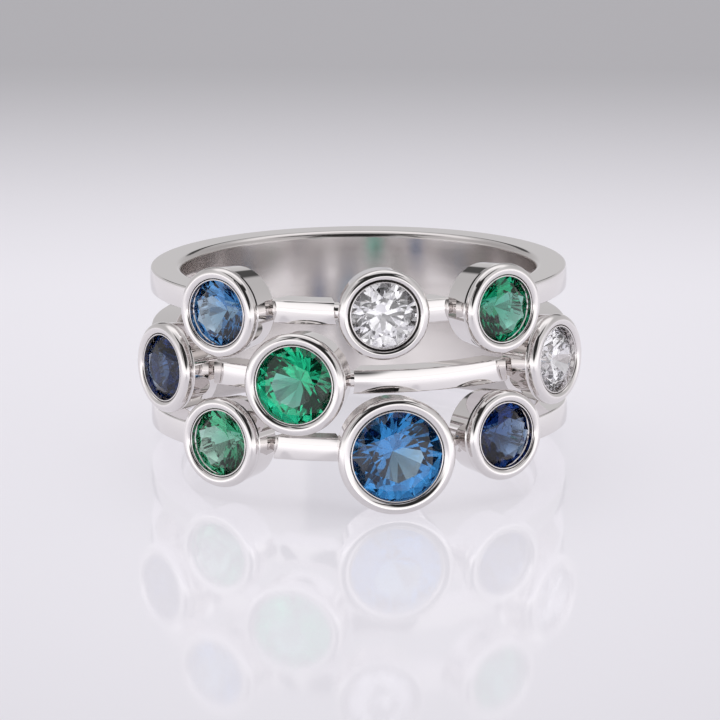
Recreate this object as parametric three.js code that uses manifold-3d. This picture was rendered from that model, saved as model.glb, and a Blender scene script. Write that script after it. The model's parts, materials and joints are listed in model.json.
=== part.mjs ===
// A cocktail band for a finger: a wide polished shank that splits across the front into three slim
// strands, with nine round brilliants in open-backed bezel cups soldered to them.
// Millimetres and degrees. The ring is drawn with its axis along +Z and its front towards -Y,
// and is then turned to lie as it rests on a table.
import * as THREE from "three";
import { ConvexGeometry } from "three/addons/geometries/ConvexGeometry.js";
import { mergeVertices } from "three/addons/utils/BufferGeometryUtils.js";
import Module from "manifold-3d";

const wasm = await Module();
wasm.setup();

// The band
const fingerDiameter = 17.3;
const bandWall = 1.5;
const bandWidth = 7.8;
const strandWidth = 1.15;
const outerRounding = 0.14;
const innerRounding = 0.32;
const bandSegments = 72;

// The slots between the strands, with angles counted from the middle of the front
const slotEnd = 122;
const slotEndLength = 12;
const flareStart = 55;
const flareEnd = 115;
const flareRise = 0.6;
const slotEndSections = 5;

// The cups: how far they reach over the finger hole, then the forms of the lip and the seat
const cupFaceRise = 2.75;
const cupBackRise = 0.85;
const cupTaper = 0.12;
const cupSegments = 24;
const lipRise = 0.2;
const lipHalfWidth = 0.3;
const lipBulgeDepth = 0.13;
const lipDepth = 0.4;
const lipStep = 0.07;
const lipInnerWidth = 0.2;
const lipInnerDrop = 0.08;
const lipAngles = [-40, 0, 30, 60, 90];
const ledgeWidth = 0.08;
const ledgeRise = 0.03;
const lipOverhang = 0.1;
const backOpeningShare = 0.6;
const stoneClearance = 0.08;

// The necks that join the strands to the cups
const neckGap = 0.24;
const neckWidth = 0.72;
const neckInset = 0.1;
const neckRecess = 0.33;
const neckHidden = 0.25;

// The cut of the stones, as shares of their girdle diameter
const tableShare = 0.56;
const crownShare = 0.15;
const girdleShare = 0.035;
const pavilionShare = 0.43;
const starShare = 0.5;
const lowerHalfShare = 0.76;
const girdleDepthShare = 0.111;
const facetTurns = 8;
const girdleSides = 16;

const smallStone = 3.24;
const mediumStone = 3.84;
const largeStone = 4.44;
const smallLip = 0.58;
const largeLip = 0.64;
const small = { stone: smallStone, lip: smallLip };
const medium = { stone: mediumStone, lip: smallLip };
const large = { stone: largeStone, lip: largeLip };

const white = 0xf2f4f8;
const midBlue = 0x2f6fb8;
const cornflower = 0x3f82d8;
const navy = 0x0b2a66;
const forest = 0x0f8a50;
const emerald = 0x18a868;
const mint = 0x3fae72;

// Each setting: its row, its angle from the middle of the front, how far its centre is above the
// middle of its strand, the size of its stone and cup, the side where a neck shows (-1 is the
// left, 1 the right, 0 both) and the colour of the stone.
const settings = [
  { name: "top_left_blue", row: "top", turn: -36.4, lift: -0.07, size: small, neck: 0, tint: midBlue },
  { name: "top_middle_white", row: "top", turn: 6.1, lift: 0.16, size: small, neck: -1, tint: white },
  { name: "top_right_green", row: "top", turn: 37.7, lift: -0.02, size: small, neck: 0, tint: forest },
  { name: "middle_left_navy", row: "middle", turn: -56, lift: 0.05, size: small, neck: 0, tint: navy },
  { name: "middle_green", row: "middle", turn: -15.8, lift: 0.05, size: medium, neck: 1, tint: emerald },
  { name: "middle_right_white", row: "middle", turn: 56.7, lift: 0.28, size: small, neck: 0, tint: white },
  { name: "bottom_left_green", row: "bottom", turn: -36.3, lift: 0.23, size: small, neck: 0, tint: mint },
  { name: "bottom_blue", row: "bottom", turn: 9, lift: -0.09, size: large, neck: 1, tint: cornflower },
  { name: "bottom_right_navy", row: "bottom", turn: 37.9, lift: 0.44, size: small, neck: 0, tint: navy },
];

// What follows from the sizes above
const innerRadius = fingerDiameter / 2;
const outerRadius = innerRadius + bandWall;
const meanRadius = (innerRadius + outerRadius) / 2;
const cupFace = innerRadius + cupFaceRise;
const cupBack = innerRadius + cupBackRise;
const rowMiddle = {
  top: bandWidth - strandWidth / 2,
  middle: bandWidth / 2,
  bottom: strandWidth / 2,
};
const cutMargin = 0.5;
const weldDistance = 1e-4;

// Moves from a closed geometry to a solid that can be joined and cut, and back again.
function solidOf(geometry) {
  geometry.deleteAttribute("normal");
  geometry.deleteAttribute("uv");
  const merged = mergeVertices(geometry, weldDistance);
  return new wasm.Manifold(
    new wasm.Mesh({
      numProp: 3,
      vertProperties: merged.attributes.position.array,
      triVerts: new Uint32Array(merged.index.array),
    }),
  );
}

function geometryOf(solid) {
  const mesh = solid.getMesh();
  return new THREE.BufferGeometry()
    .setAttribute("position", new THREE.BufferAttribute(mesh.vertProperties, 3))
    .setIndex(new THREE.BufferAttribute(mesh.triVerts, 1));
}

const joined = (solids) => solids.reduce((all, solid) => all.add(solid));

// A solid of revolution about +Z from a closed outline of [radius, height] points.
function turned(outline, segments) {
  const points = [...outline, outline[0]].map(([radius, height]) => new THREE.Vector2(radius, height));
  return new THREE.LatheGeometry(points, segments).rotateX(Math.PI / 2);
}

function ringSolid(inside, outside, low, high) {
  return solidOf(turned([[inside, low], [outside, low], [outside, high], [inside, high]], bandSegments));
}

// Points of a quarter circle that rounds the corner of an outline, in steps from its start angle.
function roundedCorner(x, y, radius, startAngle, steps) {
  return Array.from({ length: steps + 1 }, (_, i) => {
    const angle = startAngle + (i / steps) * (Math.PI / 2);
    return [x + radius * Math.cos(angle), y + radius * Math.sin(angle)];
  });
}

// Takes a shape drawn along +Z to a setting: +Z turns to face outwards from the band.
function atSetting(geometry, { row, turn, lift }) {
  return geometry
    .rotateX(Math.PI / 2)
    .rotateZ(THREE.MathUtils.degToRad(turn))
    .translate(0, 0, rowMiddle[row] + lift);
}

// The shank before the slots are cut: a plain band, rounder inside than outside.
function bandSolid() {
  const [near, far] = [innerRounding, outerRounding];
  return solidOf(
    turned(
      [
        ...roundedCorner(innerRadius + near, near, near, Math.PI, 2),
        ...roundedCorner(outerRadius - far, far, far, -Math.PI / 2, 1),
        ...roundedCorner(outerRadius - far, bandWidth - far, far, 0, 1),
        ...roundedCorner(innerRadius + near, bandWidth - near, near, Math.PI / 2, 2),
      ],
      bandSegments,
    ),
  );
}

// The two edges of a slot at an angle: the side of the middle strand flares towards the back,
// and both edges draw together in a round end. side is 1 for the upper slot and -1 for the lower.
function slotEdges(angle, side) {
  const away = Math.abs(angle);
  const flare = flareRise * THREE.MathUtils.smoothstep(away, flareStart, flareEnd);
  const near = bandWidth / 2 + side * (strandWidth / 2 + flare);
  const far = bandWidth / 2 + side * (bandWidth / 2 - strandWidth);
  const along = Math.max(0, (away - (slotEnd - slotEndLength)) / slotEndLength);
  const half = (Math.abs(far - near) / 2) * Math.sqrt(Math.max(0, 1 - along * along));
  const middle = (near + far) / 2;
  return { low: middle - half, high: middle + half };
}

// The angles of a slot's sections: in step with the band's own sides, then closer in its round ends.
function slotAngles() {
  const step = 360 / bandSegments;
  const straight = Math.floor((slotEnd - slotEndLength) / step);
  const half = [];
  for (let i = 1; i <= straight; i += 1) half.push(i * step);
  for (let i = 1; i < slotEndSections; i += 1) {
    half.push(slotEnd - slotEndLength + slotEndLength * Math.sin((i / slotEndSections) * (Math.PI / 2)));
  }
  return [...half.map((angle) => -angle).reverse(), 0, ...half];
}

// The edge of a slot, unrolled flat as points along and up: over the top, then back underneath.
// Each point comes with the direction that leads straight away from the slot.
function slotOutline(side) {
  const angles = slotAngles();
  const flat = (angle, height) => new THREE.Vector2(THREE.MathUtils.degToRad(angle) * meanRadius, height);
  const edge = (angle, end) => flat(angle, slotEdges(angle, side)[end]);
  const points = [
    edge(-slotEnd, "high"),
    ...angles.map((angle) => edge(angle, "high")),
    edge(slotEnd, "high"),
    ...angles.map((angle) => edge(angle, "low")).reverse(),
  ];
  return points.map((point, i) => {
    const before = points.at(i - 1);
    const after = points[(i + 1) % points.length];
    const along = after.clone().sub(before).normalize();
    return { point, away: new THREE.Vector2(-along.y, along.x) };
  });
}

// A slot's cutter: its edge taken through the wall of the band in levels, and opened out at both
// mouths, so that it rounds the edges of the strands.
function slotCutter(side) {
  const outline = slotOutline(side);
  const levels = [
    [innerRadius - cutMargin, innerRounding],
    [innerRadius, innerRounding],
    [innerRadius + innerRounding * (1 - Math.SQRT1_2), innerRounding * (1 - Math.SQRT1_2)],
    [innerRadius + innerRounding, 0],
    [outerRadius - outerRounding, 0],
    [outerRadius, outerRounding],
    [outerRadius + cutMargin, outerRounding],
  ];
  const positions = levels.flatMap(([radius, mouth]) =>
    outline.flatMap(({ point, away }) => {
      const spread = point.clone().addScaledVector(away, mouth);
      const angle = spread.x / meanRadius;
      return [radius * Math.sin(angle), -radius * Math.cos(angle), spread.y];
    }),
  );
  return solidOf(
    new THREE.BufferGeometry()
      .setAttribute("position", new THREE.Float32BufferAttribute(positions, 3))
      .setIndex(tubeIndex(outline.length, levels.length)),
  );
}

// The triangles of a closed tube made of rings of points. Each ring's first half runs back beside
// its second half, and both ends are closed by strips between the two.
function tubeIndex(count, rings) {
  const index = [];
  for (let ring = 0; ring < rings - 1; ring += 1) {
    for (let i = 0; i < count; i += 1) {
      const a = ring * count + i;
      const b = ring * count + ((i + 1) % count);
      index.push(a, b + count, b, a, a + count, b + count);
    }
  }
  const last = (rings - 1) * count;
  for (let i = 0; i < count / 2; i += 1) {
    const across = [i, i + 1, count - i - 1, (count - i) % count];
    const corners = across.filter((corner, k) => across.indexOf(corner) === k);
    for (let k = 1; k < corners.length - 1; k += 1) {
      index.push(corners[0], corners[k], corners[k + 1]);
      index.push(last + corners[0], last + corners[k + 1], last + corners[k]);
    }
  }
  return index;
}

const cupRadius = ({ size }) => size.stone / 2 + size.lip;
const girdleHeight = ({ size }) => cupFace - girdleDepthShare * size.stone;

// The outside of a cup from its back, out along its tapered body and over its round lip.
function cupSolid(setting) {
  const rim = cupRadius(setting);
  const body = rim - lipStep;
  const lip = lipAngles.map((degrees) => {
    const angle = THREE.MathUtils.degToRad(degrees);
    return [
      rim - lipHalfWidth * (1 - Math.cos(angle)),
      cupFace - lipBulgeDepth + (lipRise + lipBulgeDepth) * Math.sin(angle),
    ];
  });
  const outline = [[0, cupBack], [body - cupTaper, cupBack], [body, cupFace - lipDepth], ...lip];
  return solidOf(atSetting(turned([...outline, [0, cupFace + lipRise]], cupSegments), setting));
}

// What is cut away through a cup and the strand behind it: the opening at the back, the seat for
// the stone, the ledge over its girdle and the mouth inside the lip.
function cupBore(setting) {
  const stoneRadius = setting.size.stone / 2;
  const backOpening = stoneRadius * backOpeningShare;
  const opening = stoneRadius - lipOverhang;
  const seat = stoneRadius + stoneClearance;
  const girdle = girdleHeight(setting);
  const girdleTop = girdle + girdleShare * setting.size.stone + stoneClearance;
  const crest = cupRadius(setting) - lipHalfWidth;
  const outline = [
    [0, innerRadius - cutMargin],
    [backOpening, innerRadius - cutMargin],
    [backOpening, cupBack],
    [seat, girdle - stoneClearance],
    [seat, girdleTop],
    [opening, girdleTop + lipOverhang],
    [opening, cupFace],
    [opening + ledgeWidth, cupFace + ledgeRise],
    [crest - lipInnerWidth, cupFace + lipRise - lipInnerDrop],
    [crest, cupFace + lipRise],
    [crest, cupFace + lipRise + cutMargin],
    [0, cupFace + lipRise + cutMargin],
  ];
  return solidOf(atSetting(turned(outline, cupSegments), setting));
}

// The break in a strand beside a cup, kept to the strand's own height. Where only one side has a
// neck, the cut moves over until its other side is hidden under the cup.
function neckCut(setting) {
  const shift = (setting.neck * (neckGap + neckHidden)) / 2;
  const reach = cupRadius(setting) + neckGap - Math.abs(shift);
  const outline = [
    [0, innerRadius - cutMargin],
    [reach, innerRadius - cutMargin],
    [reach, cupFace],
    [0, cupFace],
  ];
  const middle = rowMiddle[setting.row];
  const reachUp = strandWidth / 2 + outerRounding;
  const row = ringSolid(innerRadius - cutMargin, cupFace, middle - reachUp, middle + reachUp);
  return solidOf(atSetting(turned(outline, cupSegments).translate(shift, 0, 0), setting)).intersect(row);
}

// The slim core of a strand, which shows as the neck beside each cup.
function strandCore(row) {
  const middle = rowMiddle[row];
  const half = neckWidth / 2;
  return ringSolid(innerRadius + neckInset, outerRadius - neckRecess, middle - half, middle + half);
}

// Band, strands and cups, soldered into one piece.
function metalGeometry() {
  const band = bandSolid().subtract(slotCutter(1)).subtract(slotCutter(-1));
  const broken = band.subtract(joined(settings.map(neckCut)));
  const cored = joined([broken, ...Object.keys(rowMiddle).map(strandCore)]);
  return geometryOf(joined([cored, ...settings.map(cupSolid)]).subtract(joined(settings.map(cupBore))));
}

// A round brilliant with its table up and its girdle round the origin: table, 8 stars, 8 kites,
// 16 upper and 16 lower girdle facets, 8 pavilion mains and a pointed culet.
function brilliantGeometry(diameter) {
  const radius = diameter / 2;
  const table = tableShare * radius;
  const girdle = girdleShare * diameter;
  const crown = crownShare * diameter;
  const pavilion = pavilionShare * diameter;
  const flatness = Math.cos(Math.PI / facetTurns);
  const star = table * flatness + starShare * (radius - table * flatness);
  const starHeight = girdle + (crown * (radius - star * flatness)) / (radius - table);
  const lower = radius * (1 - lowerHalfShare);
  const points = [new THREE.Vector3(0, 0, -pavilion)];
  const addRing = (count, offset, ringRadius, height) => {
    for (let i = 0; i < count; i += 1) {
      const angle = ((i + offset) / count) * 2 * Math.PI;
      points.push(new THREE.Vector3(ringRadius * Math.cos(angle), ringRadius * Math.sin(angle), height));
    }
  };
  addRing(facetTurns, 0, table, girdle + crown);
  addRing(facetTurns, 0.5, star, starHeight);
  addRing(girdleSides, 0, radius, girdle);
  addRing(girdleSides, 0, radius, 0);
  addRing(facetTurns, 0.5, lower, -pavilion * (1 - (lower * flatness) / radius));
  return new ConvexGeometry(points);
}

function stoneGeometry(setting) {
  return atSetting(brilliantGeometry(setting.size.stone).translate(0, 0, girdleHeight(setting)), setting);
}

// The centre of the metal, which is where the ring balances.
function balancePoint(geometry) {
  const place = geometry.getAttribute("position");
  const index = geometry.index.array;
  const [a, b, c] = [new THREE.Vector3(), new THREE.Vector3(), new THREE.Vector3()];
  const sum = new THREE.Vector3();
  let volume = 0;
  for (let i = 0; i < index.length; i += 3) {
    [a, b, c].forEach((corner, k) => corner.fromBufferAttribute(place, index[i + k]));
    const piece = a.dot(b.clone().cross(c)) / 6;
    volume += piece;
    sum.addScaledVector(a.clone().add(b).add(c), piece / 4);
  }
  return sum.divideScalar(volume);
}

// At rest the ring stands on the cup that reaches lowest and on the back edge of the band, at the
// place where its balance point is straight above the line between the two.
function restingNormal(balance) {
  let steepest = { slope: 0, normal: new THREE.Vector3(0, 0, 1) };
  for (const setting of settings.filter(({ row }) => row === "bottom")) {
    const turn = THREE.MathUtils.degToRad(setting.turn);
    const foot = new THREE.Vector2(cupFace * Math.sin(turn), -cupFace * Math.cos(turn));
    const below = cupRadius(setting) - rowMiddle.bottom - setting.lift;
    const along = new THREE.Vector2(balance.x, balance.y).sub(foot).normalize();
    const across = foot.dot(along);
    const reach = -across + Math.sqrt(across * across + outerRadius * outerRadius - foot.lengthSq());
    const back = foot.clone().addScaledVector(along, reach).normalize();
    const slope = below / (outerRadius - foot.dot(back));
    if (slope > steepest.slope) {
      steepest = { slope, normal: new THREE.Vector3(-back.x * slope, -back.y * slope, 1).normalize() };
    }
  }
  return steepest.normal;
}

const metal = new THREE.Mesh(
  metalGeometry(),
  new THREE.MeshStandardMaterial({ color: 0xe6e2e2, metalness: 1, roughness: 0.06 }),
);
metal.name = "split_band_with_cups";

const stones = settings.map((setting) => {
  const material = new THREE.MeshStandardMaterial({
    color: setting.tint,
    metalness: 0,
    roughness: 0.03,
    flatShading: true,
  });
  const stone = new THREE.Mesh(stoneGeometry(setting), material);
  stone.name = `stone_${setting.name}`;
  return stone;
});

const ring = new THREE.Group();
ring.add(metal, ...stones);
const up = new THREE.Vector3(0, 0, 1);
ring.quaternion.setFromUnitVectors(restingNormal(balancePoint(metal.geometry)), up);

// The origin is on the table, under the middle of the ring's own box.
const part = new THREE.Group();
part.add(ring);
part.updateMatrixWorld(true);
const box = new THREE.Box3().setFromObject(part, true);
const middle = box.getCenter(new THREE.Vector3());
ring.position.set(-middle.x, -middle.y, -box.min.z);

export default part;
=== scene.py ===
# Dresses the three-strand ring: polished metal rebuilt finely, cut stones, a pale table and studio light.
import json
import math

import bpy
import numpy as np
from mathutils import Matrix, Vector


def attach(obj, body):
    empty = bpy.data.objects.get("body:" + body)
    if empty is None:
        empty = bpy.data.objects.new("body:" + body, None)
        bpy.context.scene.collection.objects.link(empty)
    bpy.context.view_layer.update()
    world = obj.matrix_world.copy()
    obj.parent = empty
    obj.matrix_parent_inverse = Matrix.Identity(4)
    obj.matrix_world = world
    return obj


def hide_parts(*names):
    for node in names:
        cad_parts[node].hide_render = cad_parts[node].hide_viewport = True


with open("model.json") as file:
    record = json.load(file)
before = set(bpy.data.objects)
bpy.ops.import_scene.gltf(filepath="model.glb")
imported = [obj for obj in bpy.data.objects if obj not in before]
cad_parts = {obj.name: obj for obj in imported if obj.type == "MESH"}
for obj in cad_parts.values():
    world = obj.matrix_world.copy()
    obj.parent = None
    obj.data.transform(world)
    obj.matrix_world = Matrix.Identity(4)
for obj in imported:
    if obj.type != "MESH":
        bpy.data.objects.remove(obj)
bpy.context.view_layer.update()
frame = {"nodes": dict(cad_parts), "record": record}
scene = bpy.context.scene
mm = 0.001

view = {
    "azimuth": 0.232,
    "elevation": 17.444,
    "roll": 0.457,  # the camera's right side is raised
    "distance": 450 * mm,
    "lens": 460.1,
    "aim": Vector((0.0347, -0.1233, 4.369)) * mm,
}


def makeCamera(s):
    camera = bpy.data.objects.new("camera", bpy.data.cameras.new("camera"))
    scene.collection.objects.link(camera)
    azimuth, elevation = math.radians(s["azimuth"]), math.radians(s["elevation"])
    level = Matrix.Rotation(-azimuth, 4, "Z") @ Matrix.Rotation(math.pi / 2 - elevation, 4, "X")
    turn = level @ Matrix.Rotation(math.radians(s["roll"]), 4, "Z")
    camera.matrix_world = Matrix.Translation(s["aim"] + turn.to_3x3() @ Vector((0, 0, s["distance"]))) @ turn
    camera.data.lens = s["lens"]
    camera.data.sensor_width = 36
    camera.data.clip_start = 0.01
    scene.camera = camera


makeCamera(view)

# The ring's sizes are in millimetres, in its own frame: its axis up and its front towards -Y.
small, medium, large = (3.24, 0.58), (3.84, 0.58), (4.44, 0.64)  # stone's diameter, wall of its cup
rowMiddle = {"top": 7.225, "middle": 3.9, "bottom": 0.575}

# Each setting: its stone, row, angle, lift over the strand's middle, size, and the side with a neck (0 is both)
settings = [
    ("stone_top_left_blue", "top", -36.4, -0.07, small, 0),
    ("stone_top_middle_white", "top", 6.1, 0.16, small, -1),
    ("stone_top_right_green", "top", 37.7, -0.02, small, 0),
    ("stone_middle_left_navy", "middle", -56.0, 0.05, small, 0),
    ("stone_middle_green", "middle", -15.8, 0.05, medium, 1),
    ("stone_middle_right_white", "middle", 56.7, 0.28, small, 0),
    ("stone_bottom_left_green", "bottom", -36.3, 0.23, small, 0),
    ("stone_bottom_blue", "bottom", 9.0, -0.09, large, 1),
    ("stone_bottom_right_navy", "bottom", 37.9, 0.44, small, 0),
]


# An outline is a list of stretches (start, start normal, end, end normal), walked with the metal on the left.
def straight(*points):
    stretches = []
    for a, b in zip(points, points[1:]):
        length = math.dist(a, b)
        normal = ((b[1] - a[1]) / length, (a[0] - b[0]) / length)
        stretches.append((a, normal, b, normal))
    return stretches


def curved(centre, radii, start, end, steps):
    sense = 1 if end > start else -1
    ring = []
    for i in range(steps + 1):
        angle = math.radians(start + (end - start) * i / steps)
        c, s = math.cos(angle), math.sin(angle)
        normal = Vector((c / radii[0], s / radii[1])).normalized() * sense
        ring.append(((centre[0] + radii[0] * c, centre[1] + radii[1] * s), tuple(normal)))
    return [(a[0], a[1], b[0], b[1]) for a, b in zip(ring, ring[1:])]


# A closed outline from arcs and point lists: the gaps between them are straight.
def joinUp(*parts):
    stretches = []
    for i, part in enumerate(parts):
        after = parts[(i + 1) % len(parts)]
        stretches += part
        if math.dist(part[-1][2], after[0][0]) > 1e-7:
            stretches += straight(part[-1][2], after[0][0])
    return stretches


def newObject(name, vertices, faces, cornerNormals, creviceShades=None):
    mesh = bpy.data.meshes.new(name)
    mesh.from_pydata(vertices, [], faces)
    shape = mesh.attributes.new("shapeNormal", "FLOAT_VECTOR", "CORNER")
    shape.data.foreach_set("vector", np.asarray(cornerNormals, np.float32).ravel())
    # a mask for painted shade, 1 where the metal is painted near black
    creviceShade = mesh.attributes.new("creviceShade", "FLOAT", "CORNER")
    if creviceShades:
        creviceShade.data.foreach_set("value", creviceShades)
    made = bpy.data.objects.new(name, mesh)
    scene.collection.objects.link(made)
    return made


# Turns an outline round +Z. Its corner normals are stored, pointing inward for what will be cut away.
def turned(name, outline, sides, inward=False, swell=None, creviceShade=None):
    vertices, index = [], {}
    sense = -1 if inward else 1

    def vertex(key, point, angle):
        if key not in index:
            index[key] = len(vertices)
            vertices.append((point[0] * math.cos(angle), point[0] * math.sin(angle), point[1]))
        return index[key]

    faces, normals, creviceShades = [], [], []
    for a, na, b, nb in outline:
        if a[0] < 1e-9 and b[0] < 1e-9:
            continue
        for j in range(sides):
            face, facings = [], []
            for point, normal, k in ((a, na, j), (a, na, j + 1), (b, nb, j + 1), (b, nb, j)):
                angle = 2 * math.pi * k / sides
                key = (round(point[0], 6), round(point[1], 6), 0 if point[0] < 1e-9 else k % sides)
                if swell:
                    point, normal = swell(point, normal, angle)
                v = vertex(key, point, angle)
                if v not in face:
                    face.append(v)
                    creviceShades.append(creviceShade(point) if creviceShade else 0)
                    radial = sense * normal[0]
                    facings.append((radial * math.cos(angle), radial * math.sin(angle), sense * normal[1]))
            faces.append(face)
            normals += facings
    return newObject(name, vertices, faces, normals, creviceShades)


def moved(thing, matrix):
    thing.data.transform(matrix)
    turn = np.array(matrix.to_3x3())
    shape = thing.data.attributes["shapeNormal"]
    values = np.zeros(len(shape.data) * 3, np.float32)
    shape.data.foreach_get("vector", values)
    shape.data.foreach_set("vector", (values.reshape(-1, 3) @ turn.T).astype(np.float32).ravel())
    return thing


def atSetting(thing, setting):
    row, turn, lift = setting[1:4]
    outward = Matrix.Rotation(math.radians(turn), 4, "Z") @ Matrix.Rotation(math.pi / 2, 4, "X")
    return moved(thing, Matrix.Translation((0, 0, rowMiddle[row] + lift)) @ outward)


# Joins or cuts the others into base, one after another, and drops them.
def combine(base, others, operation):
    for other in others:
        modifier = base.modifiers.new(operation, "BOOLEAN")
        modifier.object = other
        modifier.operation = operation
        modifier.solver = "MANIFOLD"
        evaluated = base.evaluated_get(bpy.context.evaluated_depsgraph_get())
        base.data = bpy.data.meshes.new_from_object(evaluated)
        base.modifiers.clear()
        bpy.data.objects.remove(other)
    return base


band = {
    "inner": 8.65,
    "outer": 10.15,
    "width": 7.8,
    "strand": 1.15,
    "outerRounding": 0.09,
    "outerSteps": 6,
    "innerRounding": 0.32,
    "innerSteps": 8,
    "crown": 0.05,  # how far the outer face of a strand swells
    "crownSteps": 6,
    "crownEnds": (75, 110),  # angles between which the swelling fades out
    "sides": 288,
    "mountReach": 9.4,  # from the ring's axis to the mount on its upper side
}


def makeBand(s):
    inner, outer, width = s["inner"], s["outer"], s["width"]
    innerRound, outerRound = s["innerRounding"], s["outerRounding"]
    wall = [(outer, outerRound)]
    for middle in sorted(rowMiddle.values()):
        for k in range(-s["crownSteps"], s["crownSteps"] + 1):
            wall.append((outer, middle + s["strand"] / 2 * k / s["crownSteps"]))
    wall = [point for point in wall if outerRound <= point[1] <= width - outerRound]
    wall.append((outer, width - outerRound))
    insideRadii, outsideRadii = (innerRound, innerRound), (outerRound, outerRound)
    outline = joinUp(
        curved((inner + innerRound, innerRound), insideRadii, 180, 270, s["innerSteps"]),
        curved((outer - outerRound, outerRound), outsideRadii, 270, 360, s["outerSteps"]),
        straight(*wall),
        curved((outer - outerRound, width - outerRound), outsideRadii, 0, 90, s["outerSteps"]),
        curved((inner + innerRound, width - innerRound), insideRadii, 90, 180, s["innerSteps"]),
    )
    return turned("band", outline, s["sides"], swell=crownOfStrands)


# Swells the outer face of each strand across the front. Gives the new point and normal.
def crownOfStrands(point, normal, angle):
    away = abs((math.degrees(angle) + 90 + 180) % 360 - 180)
    near, far = band["crownEnds"]
    t = min(1, max(0, (away - near) / (far - near)))
    fade = 1 - t * t * (3 - 2 * t)
    if fade == 0 or point[0] < band["outer"] - band["outerRounding"] - 1e-6:
        return point, normal
    half = band["strand"] / 2
    middle = min(rowMiddle.values(), key=lambda height: abs(height - point[1]))
    across = (point[1] - middle) / half
    if abs(across) >= 1 or point[0] < band["outer"] - 1e-6:
        return point, normal
    rise = band["crown"] * fade
    slope = 2 * rise * across / half
    length = math.hypot(1, slope)
    return (point[0] + rise * (1 - across * across), point[1]), (1 / length, slope / length)


slot = {
    "end": 122.0,
    "endLength": 12.0,
    "flareStart": 55.0,
    "flareEnd": 115.0,
    "flareRise": 0.6,
    "step": 1.0,
    "endSteps": 16,
    "margin": 0.5,
}


# The two edges of a slot at an angle, side 1 for the upper slot and -1 for the lower.
def slotEdges(s, angle, side):
    away = abs(angle)
    t = min(1, max(0, (away - s["flareStart"]) / (s["flareEnd"] - s["flareStart"])))
    near = band["width"] / 2 + side * (band["strand"] / 2 + s["flareRise"] * t * t * (3 - 2 * t))
    far = band["width"] / 2 + side * (band["width"] / 2 - band["strand"])
    along = max(0, (away - (s["end"] - s["endLength"])) / s["endLength"])
    half = abs(far - near) / 2 * math.sqrt(max(0, 1 - along * along))
    return (near + far) / 2 - half, (near + far) / 2 + half


# A tube through the band wall that follows a slot's edge and opens out with a round mouth.
def makeSlotCutter(s, side):
    straightEnd = s["end"] - s["endLength"]
    count = round(straightEnd / s["step"])
    half = [straightEnd * k / count for k in range(1, count + 1)]
    rounded = [math.sin(math.pi / 2 * k / s["endSteps"]) for k in range(1, s["endSteps"])]
    half += [straightEnd + s["endLength"] * part for part in rounded]
    angles = [-angle for angle in reversed(half)] + [0] + half
    loop = [(-s["end"], slotEdges(s, s["end"], side)[0])]
    loop += [(angle, slotEdges(s, angle, side)[1]) for angle in angles]
    loop += [(s["end"], slotEdges(s, s["end"], side)[0])]
    loop += [(angle, slotEdges(s, angle, side)[0]) for angle in reversed(angles)]
    meanRadius = (band["inner"] + band["outer"]) / 2
    flat = np.array([(math.radians(angle) * meanRadius, height) for angle, height in loop])
    along = np.roll(flat, -1, 0) - np.roll(flat, 1, 0)
    along /= np.linalg.norm(along, axis=1)[:, None]
    away = np.stack([-along[:, 1], along[:, 0]], 1)

    inner, outer = band["inner"], band["outer"]
    innerRound, outerRound = band["innerRounding"], band["outerRounding"]
    levels = [(inner - s["margin"], innerRound, (-1, 0))]  # radius, spread of the mouth, normal
    for k in range(band["innerSteps"] + 1):
        a = math.pi / 2 * k / band["innerSteps"]
        radius, mouth = inner + innerRound - innerRound * math.cos(a), innerRound - innerRound * math.sin(a)
        levels.append((radius, mouth, (-math.cos(a), -math.sin(a))))
    for k in range(band["outerSteps"] + 1):
        a = math.pi / 2 * (1 - k / band["outerSteps"])
        radius, mouth = outer - outerRound + outerRound * math.cos(a), outerRound - outerRound * math.sin(a)
        levels.append((radius, mouth, (math.cos(a), -math.sin(a))))
    levels.append((outer + s["margin"], outerRound, (1, 0)))
    vertices, facings = [], []
    for radius, mouth, normal in levels:
        spread = flat + away * mouth
        angle = spread[:, 0] / meanRadius
        sin, cos = np.sin(angle), np.cos(angle)
        vertices += list(zip(radius * sin, -radius * cos, spread[:, 1]))
        radial, sideways = normal[0], normal[1] * away[:, 0]
        facings += list(
            zip(radial * sin + sideways * cos, -radial * cos + sideways * sin, normal[1] * away[:, 1])
        )
    count = len(loop)
    faces = []
    for level in range(len(levels) - 1):
        for k in range(count):
            a, b = level * count + k, level * count + (k + 1) % count
            faces.append([a, a + count, b + count, b])
    last = (len(levels) - 1) * count
    for k in range(count // 2):
        across = list(dict.fromkeys([k, k + 1, count - k - 1, (count - k) % count]))
        faces.append(across)
        faces.append([last + corner for corner in reversed(across)])
    normals = [facings[v] for face in faces for v in face]
    return newObject("slotCutter", vertices, faces, normals)


cup = {
    "face": 11.4,
    "back": 9.5,
    "taper": 0.14,
    "backEdge": 0.06,
    "edgeSteps": 4,
    "lipRise": 0.2,
    "lipHalfWidth": 0.3,
    "lipBulgeDepth": 0.13,
    "lipStart": -42,  # degrees below its widest line at which the lip's curve begins
    "lipSteps": 16,
    "lipInnerDrop": 0.12,
    "lipInnerSteps": 10,
    "lipStep": 0.06,
    "grooveDepth": 0.4,
    "grooveSize": 0.035,
    "ledgeWidth": 0.07,
    "ledgeRise": 0.08,
    "ledgeSteps": 8,
    "channelSlope": 0.01,
    "channelWidth": 0.03,
    "wideChannel": 0.085,  # the dark line round the top white stone is wider
    "channelDepth": 0.05,
    "overhang": 0.04,
    "girdleShare": 0.035,
    "girdleDepthShare": 0.111,
    "backOpeningShare": 0.6,
    "clearance": 0.08,
    "sides": 96,
}


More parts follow.
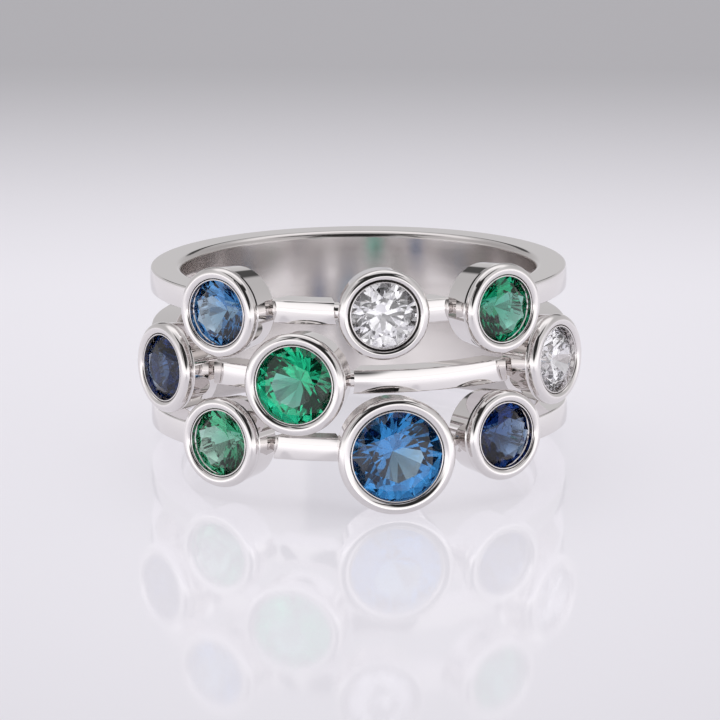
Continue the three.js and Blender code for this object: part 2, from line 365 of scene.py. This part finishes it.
def makeCup(setting, s):
    rim = setting[4][0] / 2 + setting[4][1]
    body = rim - s["lipStep"]
    foot, edge = body - s["taper"] - s["backEdge"], s["backEdge"]
    groove, size = s["face"] - s["grooveDepth"], s["grooveSize"]
    outline = joinUp(
        straight((0, s["back"]), (foot, s["back"])),
        curved((foot, s["back"] + edge), (edge, edge), 270, 360, s["edgeSteps"]),
        straight((body, groove - size), (body - size, groove), (body, groove + size)),
        curved(
            (rim - s["lipHalfWidth"], s["face"] - s["lipBulgeDepth"]),
            (s["lipHalfWidth"], s["lipRise"] + s["lipBulgeDepth"]),
            s["lipStart"],
            90,
            s["lipSteps"],
        ),
        straight((0, s["face"] + s["lipRise"]), (0, s["back"])),
    )
    return atSetting(turned("cup", outline, s["sides"]), setting)


# The opening behind a stone, its seat, the ledge over its girdle, a narrow groove and the mouth inside the lip.
def makeCupBore(setting, s):
    stone = setting[4][0] / 2
    crest = stone + setting[4][1] - s["lipHalfWidth"]
    top = s["face"] + s["lipRise"]
    girdle = s["face"] - s["girdleDepthShare"] * 2 * stone
    girdleTop = girdle + s["girdleShare"] * 2 * stone + s["clearance"]
    opening = stone - s["overhang"]
    back = stone * s["backOpeningShare"]
    ledge = s["ledgeWidth"] / 2
    inside = band["inner"] - slot["margin"]
    channel = s["wideChannel"] if setting[0] == "stone_top_middle_white" else s["channelWidth"]
    lipFoot = opening + 2 * ledge + channel
    floor = s["face"] - s["channelDepth"]
    outline = joinUp(
        straight(
            (0, inside),
            (back, inside),
            (back, s["back"]),
            (stone + s["clearance"], girdle - s["clearance"]),
            (stone + s["clearance"], girdleTop),
            (opening, girdleTop + s["overhang"]),
            (opening, s["face"] + s["ledgeRise"]),
        ),
        curved((opening + ledge, s["face"] + s["ledgeRise"]), (ledge, ledge), 180, 0, s["ledgeSteps"]),
        straight(
            (opening + 2 * ledge, s["face"] + s["ledgeRise"]),
            (opening + 2 * ledge + s["channelSlope"], floor),
            (lipFoot - s["channelSlope"], floor),
            (lipFoot, top - s["lipInnerDrop"]),
        ),
        curved(
            (crest, top - s["lipInnerDrop"]), (crest - lipFoot, s["lipInnerDrop"]), 180, 90, s["lipInnerSteps"]
        ),
        straight((crest, top + slot["margin"]), (0, top + slot["margin"]), (0, inside)),
    )

    # Marks the groove floor outside the ledge, where the metal is painted near black as shade
    def creviceShade(point):
        return 1 if point[0] > opening + ledge and abs(point[1] - floor) < 1e-6 else 0

    return atSetting(turned("bore", outline, s["sides"], inward=True, creviceShade=creviceShade), setting)


neck = {
    "gap": 0.06,
    "width": 0.72,
    "inset": 0.1,
    "recess": 0.25,
    "hidden": 0.25,
    "rounding": 0.3,
    "steps": 5,
    "past": 12,  # a radius outside everything that is cut
}


# What is cut from a row round a cup, where only the slimmer neck is to be left.
def makeNeckCut(setting, s):
    shift = setting[5] * (s["gap"] + s["hidden"]) / 2
    reach = setting[4][0] / 2 + setting[4][1] + s["gap"] - abs(shift)
    inside = band["inner"] - slot["margin"]
    cutter = turned(
        "neckCut",
        straight((0, inside), (reach, inside), (reach, cup["face"]), (0, cup["face"]), (0, inside)),
        cup["sides"],
        inward=True,
    )
    moved(cutter, Matrix.Translation((shift, 0, 0)))
    middle, slab = rowMiddle[setting[1]], band["strand"] / 2 + band["outerRounding"]
    low, high = middle - slab, middle + slab
    corners = [(inside, low), (s["past"], low), (s["past"], high), (inside, high)]
    row = turned("row", straight(*corners, corners[0]), band["sides"])
    return combine(atSetting(cutter, setting), [row], "INTERSECT")


# The slim ring inside a row that shows as its necks.
def makeCore(row, s):
    near, far = band["inner"] + s["inset"], band["outer"] - s["recess"]
    low, high, r = rowMiddle[row] - s["width"] / 2, rowMiddle[row] + s["width"] / 2, s["rounding"]
    outline = joinUp(
        curved((near + r, low + r), (r, r), 180, 270, s["steps"]),
        curved((far - r, low + r), (r, r), 270, 360, s["steps"]),
        curved((far - r, high - r), (r, r), 0, 90, s["steps"]),
        curved((near + r, high - r), (r, r), 90, 180, s["steps"]),
    )
    return turned("core", outline, band["sides"])


# The turn and place that lay the ring on its side, read from the mount on its upper side.
def restingPlace():
    upper = next(m for m in frame["record"]["mounts"] if m["name"] == "upper_side")
    turn = Vector((0, 0, 1)).rotation_difference(Vector(upper["axis"])).to_matrix().to_4x4()
    point = Vector((0, band["mountReach"], band["width"])) * mm
    return Matrix.Translation(Vector(upper["pos_m"]) - turn.to_3x3() @ point) @ turn


# Marks as sharp each edge where the normals of its two faces differ.
def markCreases(mesh, normals):
    edges = np.zeros(len(mesh.loops), np.int32)
    starts, totals = np.zeros(len(mesh.polygons), np.int32), np.zeros(len(mesh.polygons), np.int32)
    mesh.loops.foreach_get("edge_index", edges)
    mesh.polygons.foreach_get("loop_start", starts)
    mesh.polygons.foreach_get("loop_total", totals)
    after = np.arange(1, len(edges) + 1)
    after[starts + totals - 1] = starts
    order = np.argsort(edges, kind="stable")
    one, other = order[0::2], order[1::2]  # the closed mesh has two faces at each edge
    alike = np.minimum(
        (normals[one] * normals[after[other]]).sum(1),
        (normals[after[one]] * normals[other]).sum(1),
    )
    sharp = np.zeros(len(mesh.edges), bool)
    quarterDegree = 0.99999  # its cosine
    sharp[edges[one]] = alike < quarterDegree
    creases = mesh.attributes.get("sharp_edge") or mesh.attributes.new("sharp_edge", "BOOLEAN", "EDGE")
    creases.data.foreach_set("value", sharp)


def makeMetal():
    metal = makeBand(band)
    combine(metal, [makeSlotCutter(slot, 1), makeSlotCutter(slot, -1)], "DIFFERENCE")
    combine(metal, [makeNeckCut(setting, neck) for setting in settings], "DIFFERENCE")
    combine(metal, [makeCore(row, neck) for row in rowMiddle], "UNION")
    combine(metal, [makeCup(setting, cup) for setting in settings], "UNION")
    combine(metal, [makeCupBore(setting, cup) for setting in settings], "DIFFERENCE")
    place = restingPlace()
    moved(metal, Matrix.Scale(mm, 4))
    moved(metal, place)
    mesh = metal.data
    shape = mesh.attributes["shapeNormal"]
    values = np.zeros(len(shape.data) * 3, np.float32)
    shape.data.foreach_get("vector", values)
    values = values.reshape(-1, 3)
    values /= np.maximum(np.linalg.norm(values, axis=1), 1e-9)[:, None]
    mesh.polygons.foreach_set("use_smooth", [True] * len(mesh.polygons))
    mesh.attributes.remove(shape)
    exact = mesh.attributes.new("custom_normal", "FLOAT_VECTOR", "CORNER")
    exact.data.foreach_set("vector", values.ravel())
    markCreases(mesh, values)
    metal.name = "polished_metal"
    return metal


metal = makeMetal()
print("metal:", len(metal.data.polygons), "faces")


def nodesOf(material):
    material.use_nodes = True
    return material.node_tree.nodes, material.node_tree.links


gold = {
    "colour": (0.8, 0.775, 0.765, 1),
    "polish": 0.02,
    # painted shade: the inside of the band is coloured darker than the outside
    "insideShadeColour": (0.62, 0.592, 0.58, 1),
    "insidePolish": 0.17,  # duller where the finger goes
    "insideReach": (8.9, 8.7),  # millimetres from the axis between which it turns to the inside's duller polish and painted shade
    # painted shade: the groove floors round the stones are coloured near black
    "creviceShadeColour": (0.02, 0.019, 0.018, 1),
    "brushing": 0.02,  # how much the inside's polish changes along fine streaks
    "streakScale": (120, 120, 1500),
    "streakSpan": (0.3, 0.7),  # the part of the noise that is used
}


def whiteGold(s, place):
    material = bpy.data.materials.new("polished white gold")
    nodes, links = nodesOf(material)
    shader = nodes["Principled BSDF"]
    shader.inputs["Metallic"].default_value = 1
    where = nodes.new("ShaderNodeTexCoord")
    toRing = nodes.new("ShaderNodeMapping")
    toRing.vector_type = "TEXTURE"
    toRing.inputs["Location"].default_value = place.to_translation()
    toRing.inputs["Rotation"].default_value = place.to_euler()
    links.new(where.outputs["Object"], toRing.inputs["Vector"])

    flat = nodes.new("ShaderNodeVectorMath")
    flat.operation = "MULTIPLY"
    flat.inputs[1].default_value = (1 / mm, 1 / mm, 0)
    links.new(toRing.outputs["Vector"], flat.inputs[0])
    reach = nodes.new("ShaderNodeVectorMath")
    reach.operation = "LENGTH"
    links.new(flat.outputs["Vector"], reach.inputs[0])
    inside = nodes.new("ShaderNodeMapRange")
    inside.inputs["From Min"].default_value, inside.inputs["From Max"].default_value = s["insideReach"]
    links.new(reach.outputs["Value"], inside.inputs["Value"])

    stretched = nodes.new("ShaderNodeVectorMath")
    stretched.operation = "MULTIPLY"
    stretched.inputs[1].default_value = s["streakScale"]
    links.new(toRing.outputs["Vector"], stretched.inputs[0])
    streaks = nodes.new("ShaderNodeTexNoise")
    streaks.inputs["Scale"].default_value = 1
    links.new(stretched.outputs["Vector"], streaks.inputs["Vector"])
    brushed = nodes.new("ShaderNodeMapRange")
    brushed.inputs["From Min"].default_value, brushed.inputs["From Max"].default_value = s["streakSpan"]
    brushed.inputs["To Min"].default_value = s["insidePolish"] - s["brushing"]
    brushed.inputs["To Max"].default_value = s["insidePolish"] + s["brushing"]
    links.new(streaks.outputs["Fac"], brushed.inputs["Value"])
    polish = nodes.new("ShaderNodeMix")
    links.new(inside.outputs["Result"], polish.inputs[0])
    polish.inputs[2].default_value = s["polish"]
    links.new(brushed.outputs["Result"], polish.inputs[3])
    links.new(polish.outputs[0], shader.inputs["Roughness"])

    # Painted shade: the metal's colour turns darker on the inside of the band
    colour = nodes.new("ShaderNodeMix")
    colour.data_type = "RGBA"
    links.new(inside.outputs["Result"], colour.inputs[0])
    colour.inputs[6].default_value = s["colour"]
    colour.inputs[7].default_value = s["insideShadeColour"]
    # Painted shade: the marked groove floors take a near black colour
    creviceShade = nodes.new("ShaderNodeAttribute")
    creviceShade.attribute_name = "creviceShade"
    darkened = nodes.new("ShaderNodeMix")
    darkened.data_type = "RGBA"
    links.new(creviceShade.outputs["Fac"], darkened.inputs[0])
    links.new(colour.outputs[2], darkened.inputs[6])
    darkened.inputs[7].default_value = s["creviceShadeColour"]
    links.new(darkened.outputs[2], shader.inputs["Base Color"])
    return material


# What each kind of stone lets through over its depth, and how strongly it bends light
gems = {
    "white_stone": {"clear": (0.9, 0.9, 0.92), "ior": 2.3},
    "blue_stone": {"clear": (0.05, 0.19, 0.44), "ior": 1.65},
    "cornflower_stone": {"clear": (0.07, 0.28, 0.56), "ior": 1.65},
    "navy_stone": {"clear": (0.002, 0.012, 0.085), "ior": 1.55},
    "deep_green_stone": {"clear": (0.006, 0.27, 0.12), "ior": 1.6},
    "bright_green_stone": {"clear": (0.02, 0.46, 0.24), "ior": 1.6},
    "light_green_stone": {"clear": (0.04, 0.34, 0.17), "ior": 1.6},
}
stoneBody = {
    "lightPath": 0.0045,  # metres that light travels through a stone, on the whole
    "zoneScale": 700,
    "zoneShade": 0.88,  # the paler and darker zones that grew in the crystal
}


def gemMaterial(name, s, body):
    material = bpy.data.materials.new(name)
    nodes, links = nodesOf(material)
    shader = nodes["Principled BSDF"]
    shader.inputs["Roughness"].default_value = 0.0
    shader.inputs["IOR"].default_value = s["ior"]
    shader.inputs["Transmission Weight"].default_value = 1
    where = nodes.new("ShaderNodeTexCoord")
    zones = nodes.new("ShaderNodeTexNoise")
    zones.inputs["Scale"].default_value = body["zoneScale"]
    links.new(where.outputs["Object"], zones.inputs["Vector"])
    colour = nodes.new("ShaderNodeMix")
    colour.data_type = "RGBA"
    links.new(zones.outputs["Fac"], colour.inputs[0])
    colour.inputs[6].default_value = (1, 1, 1, 1)
    colour.inputs[7].default_value = (*[body["zoneShade"] ** (1 - part) for part in s["clear"]], 1)
    links.new(colour.outputs[2], shader.inputs["Base Color"])
    absorbed = [-math.log(part) / body["lightPath"] for part in s["clear"]]
    depth = nodes.new("ShaderNodeVolumeAbsorption")
    depth.inputs["Density"].default_value = max(absorbed)
    depth.inputs["Color"].default_value = (*[1 - part / max(absorbed) for part in absorbed], 1)
    links.new(depth.outputs["Volume"], nodes["Material Output"].inputs["Volume"])
    return material


metal.data.materials.clear()
metal.data.materials.append(whiteGold(gold, restingPlace()))
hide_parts("split_band_with_cups")
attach(metal, "root")

gemMaterials = {name: gemMaterial(name, s, stoneBody) for name, s in gems.items()}
slotOf = {entry["node"]: entry["material_slot"] for entry in frame["record"]["subparts"]}
for name, *_ in settings:
    stone = frame["nodes"][name]
    stone.data.materials.clear()
    stone.data.materials.append(gemMaterials[slotOf[name]])
print("materials made")


def fillRamp(node, stops):
    elements = node.color_ramp.elements
    while len(elements) < len(stops):
        elements.new(0.5)
    for element, (position, colour) in zip(elements, stops):
        element.position = position
        element.color = (*colour, 1)


table = {
    "half": 0.4,
    "colour": (0.42, 0.411, 0.44, 1),
    # metres in front of the ring or behind it, and how pale the table is there: painted shade in a darker band
    # in front and darker behind, which the metal mirrors
    "shades": [
        (-0.4, 1.1), (-0.13, 1.1), (-0.075, 0.55), (-0.046, 1),
        (0.026, 1), (0.046, 0.8), (0.068, 0.34), (0.4, 0.3),
    ],
    "paintedGlow": 1.2,  # painted light: the table glows, which pales the ring's shadow on it
    "roughness": 0.07,
}


def makeTable(s):
    mesh = bpy.data.meshes.new("table")
    half = s["half"]
    corners = [(-half, -half, 0), (half, -half, 0), (half, half, 0), (-half, half, 0)]
    mesh.from_pydata(corners, [], [(0, 1, 2, 3)])
    top = bpy.data.objects.new("table", mesh)
    scene.collection.objects.link(top)
    material = bpy.data.materials.new("pale table")
    nodes, links = nodesOf(material)
    shader = nodes["Principled BSDF"]
    shader.inputs["Roughness"].default_value = s["roughness"]
    place = nodes.new("ShaderNodeTexCoord")
    axes = nodes.new("ShaderNodeSeparateXYZ")
    links.new(place.outputs["Object"], axes.inputs["Vector"])
    away = nodes.new("ShaderNodeMapRange")
    away.inputs["From Min"].default_value, away.inputs["From Max"].default_value = -half, half
    links.new(axes.outputs["Y"], away.inputs["Value"])
    # Painted shade on the table: darker in a band in front of the ring and darker behind it
    ramp = nodes.new("ShaderNodeValToRGB")
    ramp.color_ramp.interpolation = "B_SPLINE"
    places = [((y + half) / (2 * half), shade) for y, shade in s["shades"]]
    fillRamp(ramp, [(position, [shade * part for part in s["colour"][:3]]) for position, shade in places])
    links.new(away.outputs["Result"], ramp.inputs["Fac"])
    links.new(ramp.outputs["Color"], shader.inputs["Base Color"])
    # Painted light: the table glows in its own colour, so the ring's shadow on it stays faint
    links.new(ramp.outputs["Color"], shader.inputs["Emission Color"])
    shader.inputs["Emission Strength"].default_value = s["paintedGlow"]
    mesh.materials.append(material)


makeTable(table)


overhead = {"place": (-0.1, 0.1, 0.5), "aim": (0, 0, 0.004), "size": (0.5, 0.5), "power": 0.4}


# A soft lamp over the table that the polished metal doesn't mirror.
def makeLamp(name, s):
    light = bpy.data.lights.new(name, "AREA")
    light.shape = "RECTANGLE"
    light.size, light.size_y = s["size"]
    light.energy = s["power"]
    lamp = bpy.data.objects.new(name, light)
    lamp.location = s["place"]
    lamp.rotation_euler = (Vector(s["aim"]) - Vector(s["place"])).to_track_quat("-Z", "Y").to_euler()
    lamp.visible_glossy = False
    lamp.visible_transmission = False
    scene.collection.objects.link(lamp)


makeLamp("overhead", overhead)

# How bright the studio is at each height in degrees, in front of the ring and behind it
studio = {
    "front": [
        (-90, 0.9), (-3, 1.05), (2, 1.3), (8, 1.2), (13, 0.8), (24, 0.72),
        (50, 0.75), (53, 0.03), (66, 0.03), (69, 0.7), (90, 0.8),
    ],
    "back": [
        (-90, 0.8), (-2, 0.7), (0, 0.64), (12, 0.6), (28, 0.55),
        (40, 0.6), (50, 1.1), (70, 1.2), (90, 0.8),
    ],
    "tint": (1.0, 0.985, 1.0),
    # dark cards: degrees to the right of the front, degrees up, half sizes, softness and how bright
    "cards": [
        {"turn": 0, "height": 37, "size": (24, 31), "softness": 0.15, "shade": 0.03},
        {"turn": -41, "height": 33, "size": (4, 20), "softness": 0.15, "shade": 0.015},
        {"turn": 31, "height": 33, "size": (4, 20), "softness": 0.15, "shade": 0.015},
        {"turn": 165, "height": 21, "size": (13, 6), "softness": 0.3, "shade": 0.08},
        {"turn": -165, "height": 21, "size": (13, 6), "softness": 0.3, "shade": 0.08},
    ],
    "strength": 1.0,
    "turnBack": 0.3,  # half the stretch over which the front's light turns into the back's
}


# A mask that is 1 on an elliptical card and 0 away from it, seen in a direction from the ring
def cardGroup():
    group = bpy.data.node_groups.new("dark card", "ShaderNodeTree")
    for name in ("Direction", "Middle", "Across", "Up"):
        group.interface.new_socket(name, in_out="INPUT", socket_type="NodeSocketVector")
    group.interface.new_socket("Softness", in_out="INPUT", socket_type="NodeSocketFloat")
    group.interface.new_socket("Mask", in_out="OUTPUT", socket_type="NodeSocketFloat")
    nodes, links = group.nodes, group.links
    given, made = nodes.new("NodeGroupInput"), nodes.new("NodeGroupOutput")

    def along(name):
        node = nodes.new("ShaderNodeVectorMath")
        node.operation = "DOT_PRODUCT"
        links.new(given.outputs["Direction"], node.inputs[0])
        links.new(given.outputs[name], node.inputs[1])
        return node.outputs["Value"]

    def worked(operation, first, second):
        node = nodes.new("ShaderNodeMath")
        node.operation = operation
        for socket, value in zip(node.inputs, (first, second)):
            if isinstance(value, (int, float)):
                socket.default_value = value
            else:
                links.new(value, socket)
        return node.outputs["Value"]

    offset = nodes.new("ShaderNodeCombineXYZ")
    links.new(along("Across"), offset.inputs["X"])
    links.new(along("Up"), offset.inputs["Y"])
    length = nodes.new("ShaderNodeVectorMath")
    length.operation = "LENGTH"
    links.new(offset.outputs["Vector"], length.inputs[0])
    inside = nodes.new("ShaderNodeMapRange")
    inside.interpolation_type = "SMOOTHSTEP"
    links.new(worked("ADD", 1, given.outputs["Softness"]), inside.inputs["From Min"])
    links.new(worked("SUBTRACT", 1, given.outputs["Softness"]), inside.inputs["From Max"])
    links.new(length.outputs["Value"], inside.inputs["Value"])
    ahead = worked("GREATER_THAN", along("Middle"), 0)
    links.new(worked("MULTIPLY", inside.outputs["Result"], ahead), made.inputs["Mask"])
    return group


# Soft white all round, brighter behind and above the ring, with dark cards that draw its edges
def makeWorld(s):
    world = bpy.data.worlds.new("studio")
    scene.world = world
    world.use_nodes = True
    nodes, links = world.node_tree.nodes, world.node_tree.links
    place = nodes.new("ShaderNodeTexCoord")
    axes = nodes.new("ShaderNodeSeparateXYZ")
    links.new(place.outputs["Generated"], axes.inputs["Vector"])

    def shade(stops):
        ramp = nodes.new("ShaderNodeValToRGB")
        heights = [((math.sin(math.radians(height)) + 1) / 2, level) for height, level in stops]
        fillRamp(ramp, [(position, [level * part for part in s["tint"]]) for position, level in heights])
        spread = nodes.new("ShaderNodeMapRange")
        spread.inputs["From Min"].default_value = -1
        links.new(axes.outputs["Z"], spread.inputs["Value"])
        links.new(spread.outputs["Result"], ramp.inputs["Fac"])
        return ramp.outputs["Color"]

    def mixed(factor, first, second):
        mix = nodes.new("ShaderNodeMix")
        mix.data_type = "RGBA"
        links.new(factor, mix.inputs[0])
        links.new(first, mix.inputs[6])
        if isinstance(second, tuple):
            mix.inputs[7].default_value = second
        else:
            links.new(second, mix.inputs[7])
        return mix.outputs[2]

    turnBack = nodes.new("ShaderNodeMapRange")
    turnBack.interpolation_type = "SMOOTHSTEP"
    turnBack.inputs["From Min"].default_value = -s["turnBack"]
    turnBack.inputs["From Max"].default_value = s["turnBack"]
    links.new(axes.outputs["Y"], turnBack.inputs["Value"])
    light = mixed(turnBack.outputs["Result"], shade(s["front"]), shade(s["back"]))

    group = cardGroup()
    for card in s["cards"]:
        turn, height = math.radians(card["turn"]), math.radians(card["height"])
        across = Vector((math.cos(turn), math.sin(turn), 0))
        level = math.cos(height)
        middle = Vector((math.sin(turn) * level, -math.cos(turn) * level, math.sin(height)))
        mask = nodes.new("ShaderNodeGroup")
        mask.node_tree = group
        links.new(place.outputs["Generated"], mask.inputs["Direction"])
        mask.inputs["Middle"].default_value = middle
        mask.inputs["Across"].default_value = across / math.sin(math.radians(card["size"][0]))
        mask.inputs["Up"].default_value = middle.cross(across) / math.sin(math.radians(card["size"][1]))
        mask.inputs["Softness"].default_value = card["softness"]
        light = mixed(mask.outputs["Mask"], light, (*[card["shade"]] * 3, 1))
    links.new(light, nodes["Background"].inputs["Color"])
    nodes["Background"].inputs["Strength"].default_value = s["strength"]


makeWorld(studio)
# light turns many times between the facets of a stone before it comes out
scene.cycles.glossy_bounces = 16
scene.cycles.max_bounces = 32
scene.cycles.transmission_bounces = 24
scene.view_settings.view_transform = "Standard"
print("studio made")
